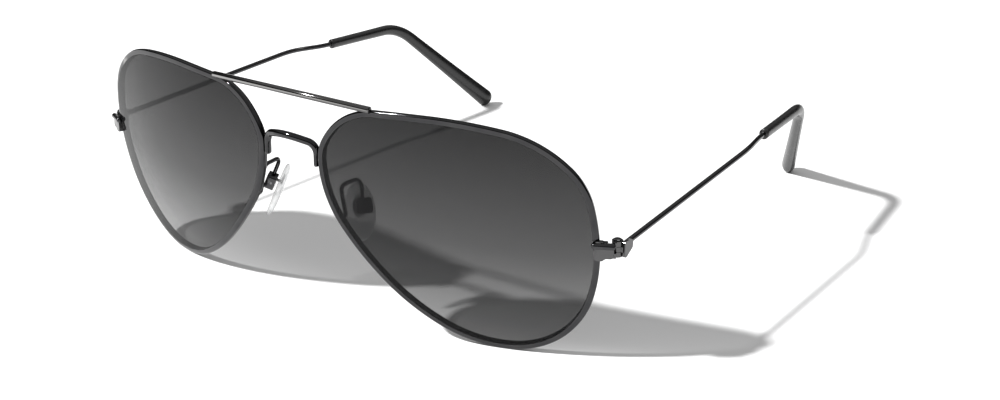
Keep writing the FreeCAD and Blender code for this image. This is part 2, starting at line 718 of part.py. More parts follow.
def pad_insert():
    """Oval plate moulded into the pad, and the stem and eye that rock on the pad screw."""
    back = -CORE_DEPTH - CORE_THICKNESS
    core = placed(oval_plate(BOX_LIFT, CORE_WIDE, CORE_TALL, back, -CORE_DEPTH), PAD_AXES)
    half = EYE_WIDE / 2
    stem = pad_block(half, EYE_RADIUS, -CORE_DEPTH - CORE_THICKNESS / 2, ROCK_DEPTH, 0)
    eye = pad_bar(EYE_RADIUS, -half, half)
    return fused([core, stem, eye]).cut(pad_bar(PAD_SCREW_RADIUS + PIN_PLAY, -half, half))


def nose_pad(insert):
    """Soft clear oval pad with rounded edges, moulded round its insert."""
    pad = oval_plate(0, PAD_WIDTH, PAD_LENGTH, -PAD_THICKNESS, 0)
    edges = [edge for edge in pad.Edges if isinstance(edge.Curve, Part.Ellipse)]
    return placed(pad.makeFillet(PAD_ROUND, edges), PAD_AXES).cut(insert)


def pad_box():
    """Small metal box, open towards the pad, with a cross hole for the pad screw."""
    half = BOX_WIDE / 2
    back = PAD_GAP + BOX_DEEP
    box = pad_block(half, BOX_TALL / 2, PAD_GAP, back, BOX_ROUND)
    pocket = pad_block(
        EYE_WIDE / 2 + EYE_SIDE_PLAY, EYE_RADIUS + EYE_ROCK_PLAY, PAD_GAP, back - BOX_FLOOR, 0)
    return box.cut([pocket, pad_bar(PAD_SCREW_RADIUS, -half, half)])


def pad_screw():
    """Small screw through the box and the insert's eye, its head towards the face."""
    half = BOX_WIDE / 2
    base = PAD_AXES.multVec(Vector(half, BOX_LIFT, ROCK_DEPTH))
    across = PAD_AXES.Rotation.multVec(Vector(1, 0, 0))
    along = PAD_AXES.Rotation.multVec(Vector(0, 1, 0))
    head = slotted_head(PAD_SCREW_HEAD_RADIUS, PAD_SCREW_HEAD_HEIGHT, base, across, along)
    return fused([pad_bar(PAD_SCREW_RADIUS, -half, half), head])


def pad_arm(rim, box):
    """Goose-neck wire from the back of the rim, up, over and down to the pad box."""
    height = LENS_CENTRE.z - ARM_DROP
    place, _, front = find_station(
        NASAL_POINT, LOWER_NASAL_POINT, lambda place: place.z - height)
    solder = place - front * (RIM_DEPTH / 2 - SOLDER)
    heel = place - front * (RIM_DEPTH / 2 + ARM_STAND_OFF)
    box_top = PAD_AXES.multVec(
        Vector(0, BOX_LIFT + BOX_TALL / 2 - SOLDER, PAD_GAP + BOX_DEEP / 2))
    up = PAD_AXES.Rotation.multVec(Vector(0, 1, 0))
    rear_top = box_top + up * (ARM_LOOP / up.z)
    front_top = Vector(rear_top.x - ARM_INWARD, heel.y, rear_top.z)
    arm = bent_rod([solder, heel, front_top, rear_top, box_top], [ARM_BEND] * 3, ARM_RADIUS)
    return arm.cut([rim, box])


# ---- assembly ----

def mirrored(shape):
    """The shape for the wearer's other side."""
    return shape.mirror(Vector(), Vector(1, 0, 0))


def paired_pieces(rim):
    """The pieces of the wearer's left side, by name."""
    wire = temple_rod(TEMPLE_RADIUS)
    insert = pad_insert()
    box = pad_box()
    return {
        "eyewire": rim,
        "lens": lens(),
        "endpiece": endpiece(rim),
        "closing_block_upper": closing_block(rim, 1),
        "closing_block_lower": closing_block(rim, -1),
        "closing_screw": closing_screw(),
        "hinge_screw": hinge_screw(),
        "pad_arm": pad_arm(rim, box),
        "pad_box": box,
        "pad_screw": pad_screw(),
        "pad_insert": insert,
        "nose_pad": nose_pad(insert),
        "temple_hinge": temple_hinge(wire),
        "temple_wire": wire,
        "temple_tip": temple_tip(temple_rod(TEMPLE_RADIUS + BORE_PLAY)),
    }


def all_pieces():
    """Every piece by node name, standing with the origin under the middle of the object."""
    rim = eyewire()
    rims = [rim, mirrored(rim)]
    pieces = {"brow_bar": brow_bar(rims), "bridge": bridge(rims)}
    for name, shape in paired_pieces(rim).items():
        pieces[name + "_left"] = shape
        pieces[name + "_right"] = mirrored(shape)
    boxes = [shape.optimalBoundingBox() for shape in pieces.values()]
    middle = (min(box.YMin for box in boxes) + max(box.YMax for box in boxes)) / 2
    for shape in pieces.values():
        shape.translate(Vector(0, -middle, 0))
    return pieces


os.makedirs("parts", exist_ok=True)
for node, piece in all_pieces().items():
    piece.exportStep("parts/" + node + ".step")
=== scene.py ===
import math

import bmesh
import bpy
from mathutils import Matrix, Vector


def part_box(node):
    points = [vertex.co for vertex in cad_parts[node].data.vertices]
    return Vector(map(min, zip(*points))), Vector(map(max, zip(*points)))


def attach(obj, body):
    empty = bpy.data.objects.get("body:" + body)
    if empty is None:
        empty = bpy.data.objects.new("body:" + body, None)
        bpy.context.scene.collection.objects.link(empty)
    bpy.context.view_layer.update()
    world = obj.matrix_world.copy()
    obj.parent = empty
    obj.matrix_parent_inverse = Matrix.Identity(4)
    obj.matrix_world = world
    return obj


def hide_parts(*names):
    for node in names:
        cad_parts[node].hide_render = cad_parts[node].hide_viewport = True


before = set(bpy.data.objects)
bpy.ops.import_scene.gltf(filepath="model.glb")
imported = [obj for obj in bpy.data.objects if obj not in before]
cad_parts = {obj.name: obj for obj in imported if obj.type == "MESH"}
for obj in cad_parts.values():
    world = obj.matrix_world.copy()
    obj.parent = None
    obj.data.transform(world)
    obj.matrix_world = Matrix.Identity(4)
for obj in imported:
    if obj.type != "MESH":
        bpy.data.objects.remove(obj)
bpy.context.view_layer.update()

# ---- Studio ----
# A pale table, soft light from above, one small lamp at the front left that throws the shadows,
# and the camera at three quarters from the wearer's left, a little above.
MM = 0.001
BOTH_SIDES = (("left", 1), ("right", -1))
TABLE_HALF = 6.0
ROOM_LIGHT, ROOM_DARK_SIDES = 0.52, 0.12
LAMP_PLACE, LAMP_SIZE, LAMP_WATTS = (-1.21, -1.62, 1.89), 0.14, 125.0
CAMERA_TURN, CAMERA_RISE, CAMERA_ROLL = 33.064, 21.36, 1.112
CAMERA_DISTANCE = 320.2


def lamp(name, place, target, size, power):
    """Square area lamp at a place in metres, turned to a target."""
    light = bpy.data.lights.new(name, "AREA")
    light.shape = "RECTANGLE"
    light.size, light.size_y = size
    light.energy = power
    lamp_object = bpy.data.objects.new(name, light)
    bpy.context.scene.collection.objects.link(lamp_object)
    lamp_object.location = place
    lamp_object.rotation_euler = (Vector(target) - Vector(place)).to_track_quat("-Z", "Y").to_euler()


table = bpy.data.meshes.new("table")
sheet = bmesh.new()
bmesh.ops.create_grid(sheet, x_segments=1, y_segments=1, size=TABLE_HALF)
sheet.to_mesh(table)
sheet.free()
table_object = bpy.data.objects.new("table", table)
bpy.context.scene.collection.objects.link(table_object)
paper = bpy.data.materials.new("white_paper")
paper.use_nodes = True
paper_shader = paper.node_tree.nodes["Principled BSDF"]
paper_shader.inputs["Base Color"].default_value = (0.93, 0.93, 0.93, 1)
paper_shader.inputs["Roughness"].default_value = 0.9
paper_shader.inputs["Specular IOR Level"].default_value = 0.1
table.materials.append(paper)

world = bpy.data.worlds.new("soft_room")
world.use_nodes = True
room, room_links = world.node_tree.nodes, world.node_tree.links
around = room.new("ShaderNodeTexCoord")
upwards = room.new("ShaderNodeSeparateXYZ")
room_links.new(around.outputs["Generated"], upwards.inputs["Vector"])
ceiling = room.new("ShaderNodeValToRGB")
ceiling.color_ramp.elements[0].position = 0.30
ceiling.color_ramp.elements[0].color = (ROOM_DARK_SIDES, ROOM_DARK_SIDES, ROOM_DARK_SIDES, 1)
ceiling.color_ramp.elements[1].position = 0.62
room_links.new(upwards.outputs["Z"], ceiling.inputs["Fac"])
room_links.new(ceiling.outputs["Color"], room["Background"].inputs["Color"])
room["Background"].inputs["Strength"].default_value = ROOM_LIGHT
bpy.context.scene.world = world
bpy.context.scene.view_settings.view_transform = "Standard"

lamp("key_lamp", LAMP_PLACE, (0, 0, 0), (LAMP_SIZE, LAMP_SIZE), LAMP_WATTS)

camera = bpy.data.cameras.new("camera")
camera.sensor_width = 36
camera.lens = 54.864
camera.shift_x = 0.0004
camera.shift_y = 0.0021
camera.clip_start = 0.01
camera_object = bpy.data.objects.new("camera", camera)
bpy.context.scene.collection.objects.link(camera_object)
camera_target = Vector((36.07, -49.41, 26.65)) * MM
turn, rise, roll = (math.radians(angle) for angle in (CAMERA_TURN, CAMERA_RISE, CAMERA_ROLL))
back = Vector((math.sin(turn) * math.cos(rise), -math.cos(turn) * math.cos(rise), math.sin(rise)))
right = (-back).cross(Vector((0, 0, 1))).normalized()
up = back.cross(right)
rolled_right = right * math.cos(roll) + up * math.sin(roll)
rolled_up = up * math.cos(roll) - right * math.sin(roll)
stand = Matrix((rolled_right, rolled_up, back)).transposed().to_4x4()
stand.translation = camera_target + back * CAMERA_DISTANCE * MM
camera_object.matrix_world = stand
bpy.context.scene.camera = camera_object

# ---- Eyewires ----
# Grooved wire rims bent from one length of gunmetal wire each, split at the hinge side
# and closed there by the two small clamping blocks.
RIM_WIDTH, RIM_HEIGHT = 60.0, 51.3
RIM_WALL, RIM_DEPTH = 1.3, 1.5
LENS_RADIUS = 130.0
OUTLINE = [
    (0.500, 0.006), (0.415, 0.335), (-0.080, 0.500), (-0.436, 0.410),
    (-0.500, 0.259), (-0.259, -0.253), (0.168, -0.500), (0.381, -0.395),
]
STEPS_PER_ARC = 14
FACE_WRAP, FRONT_TILT = 13.3, 7.6
RIM_SPLIT = 0.3
BALL = Vector((0, LENS_RADIUS, 0))


def gunmetal(name, shade, roughness, edge_highlight_strength):
    """Polished dark plating: a little mottled, finely brushed, with a painted highlight that lightens its
    sharp edges.
    """
    metal = bpy.data.materials.new(name)
    metal.use_nodes = True
    nodes, links = metal.node_tree.nodes, metal.node_tree.links
    shader = nodes["Principled BSDF"]
    shader.inputs["Metallic"].default_value = 1.0
    place = nodes.new("ShaderNodeTexCoord")
    cloud = nodes.new("ShaderNodeTexNoise")
    cloud.inputs["Scale"].default_value = 260.0
    cloud.inputs["Detail"].default_value = 5.0
    links.new(place.outputs["Object"], cloud.inputs["Vector"])
    colour = nodes.new("ShaderNodeValToRGB")
    colour.color_ramp.elements[0].position = 0.3
    colour.color_ramp.elements[0].color = (shade * 0.82, shade * 0.82, shade * 0.86, 1)
    colour.color_ramp.elements[1].position = 0.75
    colour.color_ramp.elements[1].color = (shade * 1.15, shade * 1.14, shade * 1.16, 1)
    links.new(cloud.outputs["Fac"], colour.inputs["Fac"])
    # Painted highlight: where the surface is sharply convex (high pointiness), the colour is lightened
    # towards a pale grey to stand in for light glinting along the edges.
    edge = nodes.new("ShaderNodeNewGeometry")
    painted_edge_highlight = nodes.new("ShaderNodeMapRange")
    painted_edge_highlight.inputs["From Min"].default_value = 0.53
    painted_edge_highlight.inputs["From Max"].default_value = 0.64
    painted_edge_highlight.inputs["To Max"].default_value = edge_highlight_strength
    links.new(edge.outputs["Pointiness"], painted_edge_highlight.inputs["Value"])
    mix = nodes.new("ShaderNodeMix")
    mix.data_type = "RGBA"
    links.new(painted_edge_highlight.outputs["Result"], mix.inputs["Factor"])
    links.new(colour.outputs["Color"], mix.inputs["A"])
    # The pale grey of the painted edge highlight.
    mix.inputs["B"].default_value = (shade * 6, shade * 5.9, shade * 5.8, 1)
    links.new(mix.outputs["Result"], shader.inputs["Base Color"])
    fine = nodes.new("ShaderNodeTexNoise")
    fine.inputs["Scale"].default_value = 1900.0
    fine.inputs["Detail"].default_value = 3.0
    links.new(place.outputs["Object"], fine.inputs["Vector"])
    gloss = nodes.new("ShaderNodeMapRange")
    gloss.inputs["To Min"].default_value = roughness * 0.75
    gloss.inputs["To Max"].default_value = roughness * 1.35
    links.new(fine.outputs["Fac"], gloss.inputs["Value"])
    links.new(gloss.outputs["Result"], shader.inputs["Roughness"])
    bump = nodes.new("ShaderNodeBump")
    bump.inputs["Strength"].default_value = 0.05
    bump.inputs["Distance"].default_value = 0.00002
    links.new(fine.outputs["Fac"], bump.inputs["Height"])
    links.new(bump.outputs["Normal"], shader.inputs["Normal"])
    return metal


# The last number sets the strength of the painted edge highlight.
rim_metal = gunmetal("polished_gunmetal", 0.05, 0.08, 0.8)


def biarc(start, heading, end, next_heading):
    """Two tangent arcs between two outline points, each as start, corner and end."""
    leave = Vector((math.cos(heading), math.sin(heading), 0))
    arrive = Vector((math.cos(next_heading), math.sin(next_heading), 0))
    chord = end - start
    both = leave + arrive
    square = 4 - both.dot(both)
    linear = 2 * chord.dot(both)
    reach = (math.sqrt(linear ** 2 + 4 * square * chord.dot(chord)) - linear) / (2 * square)
    first, second = start + leave * reach, end - arrive * reach
    joint = (first + second) / 2
    return (start, first, joint), (joint, second, end)


def arc_point(start, corner, end, share):
    """Point on the round arc that touches both sides of a corner."""
    half_turn = (corner - start).angle(end - corner) / 2
    pull = 2 * math.cos(half_turn) * share * (1 - share)
    near, far = (1 - share) ** 2, share ** 2
    return (start * near + corner * pull + end * far) / (near + pull + far)


def on_ball(flat):
    """Place on the lens's sphere of a point on the flat drawing."""
    swing = 2 * math.atan(flat.length / (2 * LENS_RADIUS))
    shrink = LENS_RADIUS * math.sin(swing) / flat.length
    return Vector((flat.x * shrink, LENS_RADIUS * (1 - math.cos(swing)), flat.y * shrink))


def on_drawing(half):
    """Half a size on the flat drawing."""
    return 2 * LENS_RADIUS * math.tan(math.asin(half / LENS_RADIUS) / 2)


def rim_stations():
    """Sections round the rim in the lens's own axes: X outwards, Y to the front."""
    half_width, half_height = on_drawing((RIM_WIDTH - RIM_WALL) / 2), on_drawing((RIM_HEIGHT - RIM_WALL) / 2)
    points = [Vector((2 * x * half_width, 2 * y * half_height, 0)) for x, y in OUTLINE]
    places = []
    heading = math.pi / 2
    for index, point in enumerate(points):
        following = points[(index + 1) % len(points)]
        for arc in biarc(point, heading, following, heading + math.pi / 4):
            places += [on_ball(arc_point(*arc, step / STEPS_PER_ARC)) for step in range(STEPS_PER_ARC)]
        heading += math.pi / 4
    stations = []
    for index, place in enumerate(places):
        ahead = (places[(index + 1) % len(places)] - places[index - 1]).normalized()
        front = (place - BALL).normalized()
        outwards = ahead.cross(front).normalized()
        axes = Matrix((outwards, front, outwards.cross(front))).transposed().to_4x4()
        axes.translation = place
        stations.append(axes)
    return stations


def sweep(shape, section, stations, closed_section=True, closed_path=False):
    """Draws the section at the first station and extrudes it through the others."""
    corners = [shape.verts.new(stations[0] @ Vector((x, y, 0))) for x, y in section]
    pairs = list(zip(corners, corners[1:]))
    if closed_section:
        pairs.append((corners[-1], corners[0]))
    first = [shape.edges.new(pair) for pair in pairs]
    ring = first
    for previous, station in zip(stations, stations[1:]):
        made = bmesh.ops.extrude_edge_only(shape, edges=ring)["geom"]
        moved = [item for item in made if isinstance(item, bmesh.types.BMVert)]
        bmesh.ops.transform(shape, matrix=station @ previous.inverted(), verts=moved)
        ring = [item for item in made if isinstance(item, bmesh.types.BMEdge)]
        ring = [edge for edge in ring if edge.verts[0] in moved and edge.verts[1] in moved]
    if closed_path:
        bmesh.ops.bridge_loops(shape, edges=first + ring)
    elif closed_section:
        bmesh.ops.contextual_create(shape, geom=first)
        bmesh.ops.contextual_create(shape, geom=ring)


def shape_box(shape):
    """Middle of the bounding box of a bmesh."""
    low = Vector([min(vertex.co[axis] for vertex in shape.verts) for axis in range(3)])
    high = Vector([max(vertex.co[axis] for vertex in shape.verts) for axis in range(3)])
    return (low + high) / 2


def node_middle(node):
    """Middle of a CAD node's box in millimetres."""
    low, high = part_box(node)
    return (low + high) / 2 / MM


def finish_piece(shape, name, body, material, nodes, side=1, crease=35):
    """Makes the piece from a bmesh in millimetres, on its own side of the face."""
    bmesh.ops.scale(shape, vec=(MM * side, MM, MM), verts=shape.verts)
    bmesh.ops.recalc_face_normals(shape, faces=shape.faces)
    mesh = bpy.data.meshes.new(name)
    shape.to_mesh(mesh)
    shape.free()
    mesh.materials.append(material)
    mesh.shade_smooth()
    mesh.set_sharp_from_angle(angle=math.radians(crease))
    piece = bpy.data.objects.new(name, mesh)
    bpy.context.scene.collection.objects.link(piece)
    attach(piece, body)
    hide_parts(*nodes)
    return piece


def rounded_corner(x, y, radius, start, steps=5):
    """Points of a quarter turn about a middle, from a start angle, turning left."""
    angles = [math.radians(start + 90 * step / steps) for step in range(steps + 1)]
    return [(x + radius * math.cos(angle), y + radius * math.sin(angle)) for angle in angles]


rim_wall, rim_depth, rim_round, rim_ease = RIM_WALL / 2, RIM_DEPTH / 2, 0.4, 0.1
groove_deep, groove_half = 0.5, 0.5
rim_section = (
    rounded_corner(rim_wall - rim_round, -rim_depth + rim_round, rim_round, -90)
    + rounded_corner(rim_wall - rim_round, rim_depth - rim_round, rim_round, 0)
    + rounded_corner(-rim_wall + rim_ease, rim_depth - rim_ease, rim_ease, 90, 2)
    + [(-rim_wall, groove_half), (groove_deep - rim_wall, 0), (-rim_wall, -groove_half)]
    + rounded_corner(-rim_wall + rim_ease, -rim_depth + rim_ease, rim_ease, 180, 2))

seat = Matrix.Rotation(math.radians(FRONT_TILT), 4, "X") @ Matrix.Rotation(math.radians(FACE_WRAP), 4, "Z")
trial = bmesh.new()
sweep(trial, rim_section, [seat @ station for station in rim_stations()], closed_path=True)
seat = Matrix.Translation(node_middle("eyewire_left") - shape_box(trial)) @ seat
trial.free()
lens_stations = rim_stations()
split_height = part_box("closing_block_upper_left")[0].z / MM - RIM_SPLIT / 2
heights = [(seat @ station).translation.z for station in lens_stations]
split = next(index for index, height in enumerate(heights) if height > split_height)
share = (split_height - heights[split - 1]) / (heights[split] - heights[split - 1])
middle_place = lens_stations[split - 1].translation.lerp(lens_stations[split].translation, share)
ahead = (lens_stations[split].translation - lens_stations[split - 1].translation).normalized()
above, below = lens_stations[split].copy(), lens_stations[split - 1].copy()
above.translation = middle_place + ahead * RIM_SPLIT / 2
below.translation = middle_place - ahead * RIM_SPLIT / 2
round_rim = [above] + lens_stations[split:] + lens_stations[:split] + [below]
round_rim = [station for index, station in enumerate(round_rim)
             if index in (0, len(round_rim) - 1)
             or (station.translation - middle_place).length > RIM_SPLIT]
for side_name, side in BOTH_SIDES:
    rim = bmesh.new()
    sweep(rim, rim_section, [seat @ station for station in round_rim])
    finish_piece(rim, "rim_wire_" + side_name, "front", rim_metal,
                 ["eyewire_" + side_name], side)

# ---- Lenses ----
# Spherical tinted lenses with a bevelled edge that snaps into the rim's groove,
# dyed dark at the top and fading downwards.
LENS_THICKNESS = 1.6
LENS_RINGS = 14
edge_in, edge_tip, bevel_half = -0.70, -0.20, 0.5
lens_edge = [(edge_in, LENS_THICKNESS / 2), (edge_in, bevel_half), (edge_tip, 0),
             (edge_in, -bevel_half), (edge_in, -LENS_THICKNESS / 2)]


def tinted_lens():
    """Dyed lens: darkest at the brow, clear gloss, and faint unevenness in the dye."""
    glass = bpy.data.materials.new("grey_gradient_lens")
    glass.use_nodes = True
    nodes, links = glass.node_tree.nodes, glass.node_tree.links
    shader = nodes["Principled BSDF"]
    shader.inputs["IOR"].default_value = 1.5
    shader.inputs["Specular IOR Level"].default_value = 0.10
    place = nodes.new("ShaderNodeTexCoord")
    parts = nodes.new("ShaderNodeSeparateXYZ")
    links.new(place.outputs["Object"], parts.inputs["Vector"])
    height = nodes.new("ShaderNodeMapRange")
    height.inputs["From Max"].default_value = 0.050
    links.new(parts.outputs["Z"], height.inputs["Value"])
    cloud = nodes.new("ShaderNodeTexNoise")
    cloud.inputs["Scale"].default_value = 45.0
    links.new(place.outputs["Object"], cloud.inputs["Vector"])
    uneven = nodes.new("ShaderNodeMath")
    uneven.operation = "MULTIPLY_ADD"
    links.new(cloud.outputs["Fac"], uneven.inputs[0])
    uneven.inputs[1].default_value = 0.03
    links.new(height.outputs["Result"], uneven.inputs[2])
    dye = nodes.new("ShaderNodeValToRGB")
    dye.color_ramp.elements[0].position = 0.05
    dye.color_ramp.elements[0].color = (0.48, 0.48, 0.48, 1)
    dye.color_ramp.elements[1].position = 0.98
    dye.color_ramp.elements[1].color = (0.85, 0.85, 0.85, 1)
    middle_dye = dye.color_ramp.elements.new(0.5)
    middle_dye.color = (0.73, 0.73, 0.73, 1)
    links.new(uneven.outputs["Value"], dye.inputs["Fac"])
    links.new(dye.outputs["Color"], shader.inputs["Alpha"])
    tint = nodes.new("ShaderNodeValToRGB")
    tint.color_ramp.elements[0].color = (0.012, 0.012, 0.0125, 1)
    tint.color_ramp.elements[1].color = (0.003, 0.003, 0.0032, 1)
    links.new(uneven.outputs["Value"], tint.inputs["Fac"])
    links.new(tint.outputs["Color"], shader.inputs["Base Color"])
    smudge = nodes.new("ShaderNodeMapRange")
    smudge.inputs["To Min"].default_value = 0.01
    smudge.inputs["To Max"].default_value = 0.05
    links.new(cloud.outputs["Fac"], smudge.inputs["Value"])
    links.new(smudge.outputs["Result"], shader.inputs["Roughness"])
    return glass


lens_material = tinted_lens()


def dome(shape, ring, radius):
    """Closes one face of the lens with rings that shrink towards its middle along the sphere."""
    middle = Vector((0, -1, 0))
    vertices = list({vertex for edge in ring for vertex in edge.verts})
    start = {vertex: (vertex.co - BALL).normalized() for vertex in vertices}
    for step in range(1, LENS_RINGS + 1):
        made = bmesh.ops.extrude_edge_only(shape, edges=ring)["geom"]
        moved = [item for item in made if isinstance(item, bmesh.types.BMVert)]
        known = {tuple(vertex.co): direction for vertex, direction in start.items()}
        fresh = {}
        for vertex in moved:
            direction = known[tuple(vertex.co)]
            fresh[vertex] = direction
        towards = 1 / (LENS_RINGS + 1 - step) if step < LENS_RINGS else 0.9
        for vertex, direction in fresh.items():
            direction = direction.lerp(middle, towards).normalized()
            vertex.co = BALL + direction * radius
            fresh[vertex] = direction
        start = fresh
        ring = [item for item in made if isinstance(item, bmesh.types.BMEdge)
                and item.verts[0] in fresh and item.verts[1] in fresh]
    bmesh.ops.pointmerge(shape, verts=list(start), merge_co=BALL + middle * radius)


for side_name, side in BOTH_SIDES:
    lens = bmesh.new()
    sweep(lens, lens_edge, lens_stations, closed_section=False, closed_path=True)
    open_edges = [edge for edge in lens.edges if edge.is_boundary]
    near_ring = [edge for edge in open_edges if (edge.verts[0].co - BALL).length < LENS_RADIUS]
    far_ring = [edge for edge in open_edges if (edge.verts[0].co - BALL).length > LENS_RADIUS]
    dome(lens, near_ring, LENS_RADIUS - LENS_THICKNESS / 2)
    dome(lens, far_ring, LENS_RADIUS + LENS_THICKNESS / 2)
    bmesh.ops.transform(lens, matrix=seat, verts=lens.verts)
    finish_piece(lens, "lens_glass_" + side_name, "front", lens_material,
                 ["lens_" + side_name], side)

# ---- Brow bar ----
# Straight drawn rod with square-cut ends, soldered on top of both rims.
BAR_EDGE = 0.1
bar_low, bar_high = (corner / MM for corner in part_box("brow_bar"))
bar_radius = (bar_high.z - bar_low.z) / 2


def round_section(wide, thin, count):
    """Points of an oval section."""
    angles = [2 * math.pi * index / count for index in range(count)]
    return [(wide / 2 * math.cos(angle), thin / 2 * math.sin(angle)) for angle in angles]


def along_x(x, y, z, scale):
    """Station with its section square to X."""
    return Matrix.Translation((x, y, z)) @ Matrix.Rotation(math.pi / 2, 4, "Y") @ Matrix.Scale(scale, 4)


bar = bmesh.new()
bar_y, bar_z = (bar_low.y + bar_high.y) / 2, (bar_low.z + bar_high.z) / 2
eased = 1 - BAR_EDGE / bar_radius
sweep(bar, round_section(2 * bar_radius, 2 * bar_radius, 40), [
    along_x(bar_low.x, bar_y, bar_z, eased), along_x(bar_low.x + BAR_EDGE, bar_y, bar_z, 1),
    along_x(bar_high.x - BAR_EDGE, bar_y, bar_z, 1), along_x(bar_high.x, bar_y, bar_z, eased)])
finish_piece(bar, "brow_rod", "front", rim_metal, ["brow_bar"], crease=50)

# ---- Bridge ----
# Round wire bent into a low arch, with each end pressed flat and soldered to the rim's nasal side.
BRIDGE_RADIUS = 0.8
BRIDGE_X, BRIDGE_FOOT_Z, BRIDGE_SHOULDER_Z = 6.6, 35.34, 40.04
BRIDGE_FOOT_Y, BRIDGE_MIDDLE_Y, BRIDGE_MIDDLE_Z = -73.2, -75.6, 41.74
FOOT_WIDE, FOOT_THICK, FOOT_LONG = 1.7, 0.8, 3.8
FOOT_BLEND, FOOT_EASE, FOOT_END = 1.6, 0.5, 0.75
PRESS_WIDER, PRESS_THINNER = 1.6, 0.75
SHOULDER_BEND, ARCH_BEND, ARCH_STEP = 2.4, 10.0, 0.22
BEND_SHARE, BEND_STEPS = 0.48, 24


def route_stations(corners, bends, spacing, first_up=Vector((0, 0, 1))):
    """Evenly spaced stations along straight runs joined by round bends."""
    corners = [Vector(corner) for corner in corners]
    places = [corners[0]]
    for index, bend in enumerate(bends, 1):
        corner = corners[index]
        before, after = corner - corners[index - 1], corners[index + 1] - corner
        trim = min(bend * math.tan(before.angle(after) / 2), BEND_SHARE * before.length,
                   BEND_SHARE * after.length)
        start, end = corner - before.normalized() * trim, corner + after.normalized() * trim
        places += [arc_point(start, corner, end, step / BEND_STEPS) for step in range(BEND_STEPS + 1)]
    places.append(corners[-1])
    reached = [0.0]
    for near, far in zip(places, places[1:]):
        reached.append(reached[-1] + (far - near).length)
    count = max(2, round(reached[-1] / spacing))
    stations = []
    index = 0
    for step in range(count + 1):
        length = reached[-1] * step / count
        while index < len(places) - 2 and reached[index + 1] < length:
            index += 1
        share = (length - reached[index]) / max(reached[index + 1] - reached[index], 1e-9)
        stations.append(places[index].lerp(places[index + 1], share))
    made = []
    for step, place in enumerate(stations):
        ahead = (stations[min(step + 1, count)] - stations[max(step - 1, 0)]).normalized()
        sideways = ahead.cross(first_up).normalized()
        axes = Matrix((sideways.cross(ahead), sideways, ahead)).transposed().to_4x4()
        axes.translation = place
        made.append(axes)
    return made


bridge = bmesh.new()
arch_half = [(BRIDGE_X, BRIDGE_FOOT_Y, BRIDGE_FOOT_Z), (BRIDGE_X, BRIDGE_FOOT_Y, BRIDGE_SHOULDER_Z)]
arch = arch_half + [(0, BRIDGE_MIDDLE_Y, BRIDGE_MIDDLE_Z)] + [(-x, y, z) for x, y, z in reversed(arch_half)]
arch_stations = route_stations(arch, [SHOULDER_BEND, ARCH_BEND, SHOULDER_BEND], ARCH_STEP, Vector((0, 1, 0)))
pressed = []
for station in arch_stations:
    height = station.translation.z
    flat = min(max((BRIDGE_FOOT_Z + FOOT_LONG - height) / FOOT_BLEND, 0), 1)
    tapered = min(max((height - BRIDGE_FOOT_Z) / FOOT_EASE, 0), 1)
    wide = 1 + flat * (FOOT_WIDE / (2 * BRIDGE_RADIUS) - 1) * PRESS_WIDER
    thin = 1 - flat * (1 - FOOT_THICK / (2 * BRIDGE_RADIUS)) * PRESS_THINNER
    end = FOOT_END + (1 - FOOT_END) * math.sqrt(tapered * (2 - tapered))
    pressed.append(station @ Matrix.Diagonal((wide * end, thin * end, 1, 1)))
sweep(bridge, round_section(2 * BRIDGE_RADIUS, 2 * BRIDGE_RADIUS, 28), pressed)
finish_piece(bridge, "bridge_arch", "front", rim_metal, ["bridge"], crease=60)

# ---- Temples ----
# Long round wires from the hinge plate, bowed gently inwards, that run inside the sleeves.
TEMPLE_CORNERS = [
    (68.973, -54.717, 27.111), (67.728, 4.714, 29.707), (65.528, 15.714, 29.007),
    (63.028, 46.214, 28.307), (50.328, 73.514, 2.458)]
TEMPLE_RADIUS = 0.62
GENTLE_BEND, EAR_BEND, TEMPLE_STEP = 40, 15, 1.2
WIRE_SHORT_OF_TIP = 0.17
for side_name, side in BOTH_SIDES:
    rod = bmesh.new()
    hidden_end = Vector(TEMPLE_CORNERS[4]).lerp(Vector(TEMPLE_CORNERS[3]), WIRE_SHORT_OF_TIP)
    rod_bends = [GENTLE_BEND, GENTLE_BEND, EAR_BEND]
    rod_stations = route_stations(TEMPLE_CORNERS[:4] + [hidden_end], rod_bends, TEMPLE_STEP)
    sweep(rod, round_section(2 * TEMPLE_RADIUS, 2 * TEMPLE_RADIUS, 24), rod_stations)
    finish_piece(rod, "temple_rod_" + side_name, "temple_" + side_name, rim_metal,
                 ["temple_wire_" + side_name], side)

# ---- Ear sleeves ----
# Black moulded plastic pushed over the wire, oval, cut square in front and rounded behind,
# bent down behind the ear.
SLEEVE_START, TIP_DOME = 3.0, 2.4
START_WIDE, START_THIN, END_WIDE, END_THIN = 2.6, 2.3, 5.0, 3.6
SLEEVE_STEP = 0.8
MOUTH_EASE, MOUTH_SHRINK = 0.12, 0.92
DOME_SWING, DOME_STEPS = 86, 8


